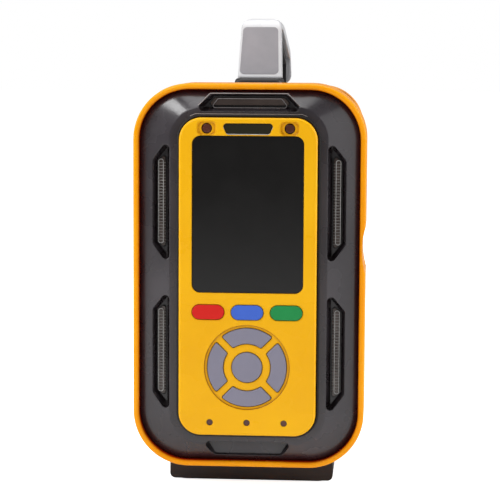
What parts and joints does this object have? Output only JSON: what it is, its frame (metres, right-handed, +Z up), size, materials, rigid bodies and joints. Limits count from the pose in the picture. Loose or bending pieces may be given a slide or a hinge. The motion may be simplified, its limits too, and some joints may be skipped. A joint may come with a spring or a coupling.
{
  "type": "portable gas detector",
  "caption": "Upright black and yellow gas detector box with a screen and key pad in front, smoked light pockets, amber bumpers, top handle and rear gas nozzles.",
  "frame": {"origin": "centre of the underside of the foot", "axes": "+Z up, -Y towards the front with the screen, +X to the right seen from the front"},
  "size_m": [0.11, 0.2285, 0.2266],
  "materials": {
    "black_plastic": "satin black moulding",
    "housing_plastic": "fine-textured black moulding",
    "amber_rubber": "satin amber soft moulding",
    "yellow_plastic": "satin yellow moulding",
    "screen_glass": "dark tinted gloss window",
    "smoked_lens": "smoked clear moulding",
    "red_lens": "dark red light window",
    "red_key": "satin red",
    "blue_key": "satin blue",
    "green_key": "satin green",
    "grey_key": "satin lavender grey",
    "handle_metal": "silver-grey paint",
    "black_rubber": "matt black",
    "foot_plastic": "matt black moulding",
    "steel": "plain steel",
    "nozzle_metal": "turned steel",
    "bracket_metal": "bent sheet",
    "inner_plastic": "natural moulding",
    "filter_plastic": "white moulding",
    "battery_wrap": "shrink wrap",
    "sensor_shell": "white moulding",
    "green_board": "solder mask",
    "dark_panel": "black part",
    "clear_tube": "translucent hose"
  },
  "bodies": {
    "body": {"front_frame": "black_plastic", "main_housing": "housing_plastic", "rear_cover": "housing_plastic", "front_bumper": "amber_rubber", "rear_bumper": "amber_rubber", "front_gasket": "black_rubber", "rear_gasket": "black_rubber", "face_plate": "yellow_plastic", "screen_glass": "screen_glass", "lcd_module": "dark_panel", "alarm_window": "smoked_lens", "indicator_lenses": "red_lens", "status_lights": "red_lens", "side_lens_upper_left": "smoked_lens", "side_lens_lower_left": "smoked_lens", "side_lens_upper_right": "smoked_lens", "side_lens_lower_right": "smoked_lens", "top_lens": "smoked_lens", "light_boards": "green_board", "keypad_board": "green_board", "main_board": "green_board", "sensor_board": "green_board", "tact_switches": "dark_panel", "handle_shell": "handle_metal", "handle_liner": "black_rubber", "handle_feet": "foot_plastic", "base_foot": "foot_plastic", "base_sole": "black_rubber", "case_screws": "steel", "base_screws": "steel", "handle_screws": "steel", "chassis": "bracket_metal", "battery_tray": "inner_plastic", "battery_pack": "battery_wrap", "gas_manifold": "inner_plastic", "sensor_1": "sensor_shell", "sensor_2": "sensor_shell", "sensor_3": "sensor_shell", "sensor_4": "sensor_shell", "pump_head": "inner_plastic", "pump_motor": "steel", "inlet_nozzle": "nozzle_metal", "outlet_nozzle": "nozzle_metal", "inlet_filter": "filter_plastic", "inlet_tube": "clear_tube", "pump_tube": "clear_tube", "exhaust_tube": "clear_tube", "charge_port": "dark_panel", "data_port": "steel", "buzzer": "dark_panel"},
    "key_red": {"key_red": "red_key"},
    "key_blue": {"key_blue": "blue_key"},
    "key_green": {"key_green": "green_key"},
    "nav_up": {"nav_up": "grey_key"},
    "nav_down": {"nav_down": "grey_key"},
    "nav_left": {"nav_left": "grey_key"},
    "nav_right": {"nav_right": "grey_key"},
    "nav_ok": {"nav_ok": "grey_key"},
    "port_cover": {"port_cover": "black_rubber"},
    "pump_rotor": {"pump_rotor": "steel"}
  },
  "joints": [
    {"name": "key_red_press", "type": "slide", "parent": "body", "child": "key_red", "axis": [0, 1, 0], "range_m": [0, 0.0008], "stiffness_N_per_m": 600, "springref_m": -0.001},
    {"name": "key_blue_press", "type": "slide", "parent": "body", "child": "key_blue", "axis": [0, 1, 0], "range_m": [0, 0.0008], "stiffness_N_per_m": 600, "springref_m": -0.001},
    {"name": "key_green_press", "type": "slide", "parent": "body", "child": "key_green", "axis": [0, 1, 0], "range_m": [0, 0.0008], "stiffness_N_per_m": 600, "springref_m": -0.001},
    {"name": "nav_up_press", "type": "slide", "parent": "body", "child": "nav_up", "axis": [0, 1, 0], "range_m": [0, 0.0008], "stiffness_N_per_m": 600, "springref_m": -0.001},
    {"name": "nav_down_press", "type": "slide", "parent": "body", "child": "nav_down", "axis": [0, 1, 0], "range_m": [0, 0.0008], "stiffness_N_per_m": 600, "springref_m": -0.001},
    {"name": "nav_left_press", "type": "slide", "parent": "body", "child": "nav_left", "axis": [0, 1, 0], "range_m": [0, 0.0008], "stiffness_N_per_m": 600, "springref_m": -0.001},
    {"name": "nav_right_press", "type": "slide", "parent": "body", "child": "nav_right", "axis": [0, 1, 0], "range_m": [0, 0.0008], "stiffness_N_per_m": 600, "springref_m": -0.001},
    {"name": "nav_ok_press", "type": "slide", "parent": "body", "child": "nav_ok", "axis": [0, 1, 0], "range_m": [0, 0.0008], "stiffness_N_per_m": 600, "springref_m": -0.001},
    {"name": "port_cover_hinge", "type": "hinge", "parent": "body", "child": "port_cover", "pos_m": [0.0491, -0.02, 0.11725], "axis": [0, 0, 1], "range_deg": [0, 110]},
    {"name": "pump_spin", "type": "hinge", "parent": "body", "child": "pump_rotor", "pos_m": [0.016, 0.036, 0.075], "axis": [1, 0, 0], "continuous": true}
  ]
}
